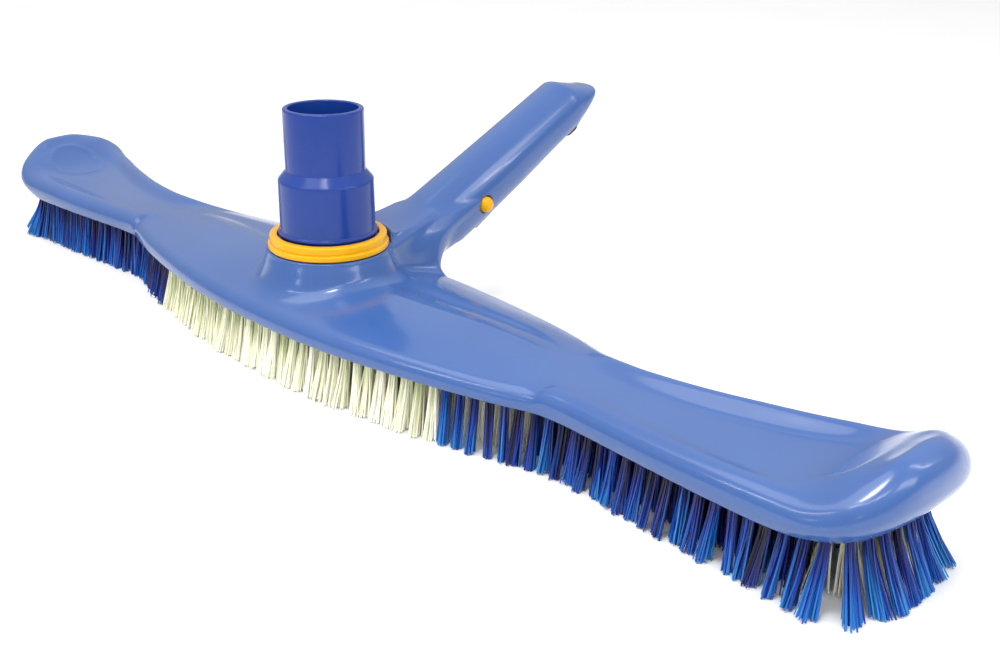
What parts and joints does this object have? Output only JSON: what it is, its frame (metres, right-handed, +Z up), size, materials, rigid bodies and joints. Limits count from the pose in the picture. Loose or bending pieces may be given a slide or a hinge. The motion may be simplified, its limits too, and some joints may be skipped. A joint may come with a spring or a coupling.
{
  "type": "pool wall brush",
  "caption": "Bowed brush head for pool walls with upturned ends, a channel handle with a sprung button clip, and a swivelling stepped hose cuff held by a ring over the suction bore.",
  "frame": {"origin": "bottom centre of the whole brush, on the plane of the bristle tips", "axes": "+X along the head to the right, +Y to the rear where the handle rises, +Z up through the hose cuff"},
  "size_m": [0.508, 0.1912, 0.1009],
  "materials": {
    "blue_gloss": "glossy moulded",
    "blue_cuff": "glossy moulded",
    "plate_blue": "satin moulded",
    "orange": "glossy moulded",
    "black_plastic": "satin",
    "bristle_blue": "bundled filaments",
    "bristle_white": "bundled filaments",
    "washer": "satin",
    "screw": "plain stainless"
  },
  "bodies": {
    "brush_head": {"body_shell": "blue_gloss", "base_plate": "plate_blue", "retaining_ring": "orange", "swivel_washer": "washer", "v_clip": "black_plastic", "bristles_outer_front_left": "bristle_blue", "bristles_outer_front_center": "bristle_white", "bristles_outer_front_right": "bristle_blue", "bristles_outer_back_left": "bristle_blue", "bristles_outer_back_center": "bristle_white", "bristles_outer_back_right": "bristle_blue", "bristles_inner_front_left": "bristle_blue", "bristles_inner_front_center": "bristle_white", "bristles_inner_front_right": "bristle_blue", "bristles_inner_back_left": "bristle_blue", "bristles_inner_back_center": "bristle_white", "bristles_inner_back_right": "bristle_blue", "bristles_outer_end_left": "bristle_blue", "bristles_outer_end_right": "bristle_blue", "bristles_inner_end_left": "bristle_white", "bristles_inner_end_right": "bristle_white", "bristles_middle_left": "bristle_blue", "bristles_middle_right": "bristle_blue", "plate_screw_1": "screw", "plate_screw_2": "screw", "plate_screw_3": "screw", "plate_screw_4": "screw", "plate_screw_5": "screw", "plate_screw_6": "screw", "plate_screw_7": "screw", "plate_screw_8": "screw"},
    "hose_cuff": {"hose_connector": "blue_cuff"},
    "button_l": {"button_left": "orange"},
    "button_r": {"button_right": "orange"}
  },
  "joints": [
    {"name": "cuff_swivel", "type": "hinge", "parent": "brush_head", "child": "hose_cuff", "pos_m": [0, -0.0581, 0.0489], "axis": [0, 0, 1], "continuous": true},
    {"name": "button_right_press", "type": "slide", "parent": "brush_head", "child": "button_r", "axis": [-1, 0, 0], "range_m": [0, 0.004], "stiffness_N_per_m": 1500, "deforming": ["v_clip"]},
    {"name": "button_left_press", "type": "slide", "parent": "brush_head", "child": "button_l", "axis": [1, 0, 0], "range_m": [0, 0.004], "stiffness_N_per_m": 1500, "deforming": ["v_clip"]}
  ]
}
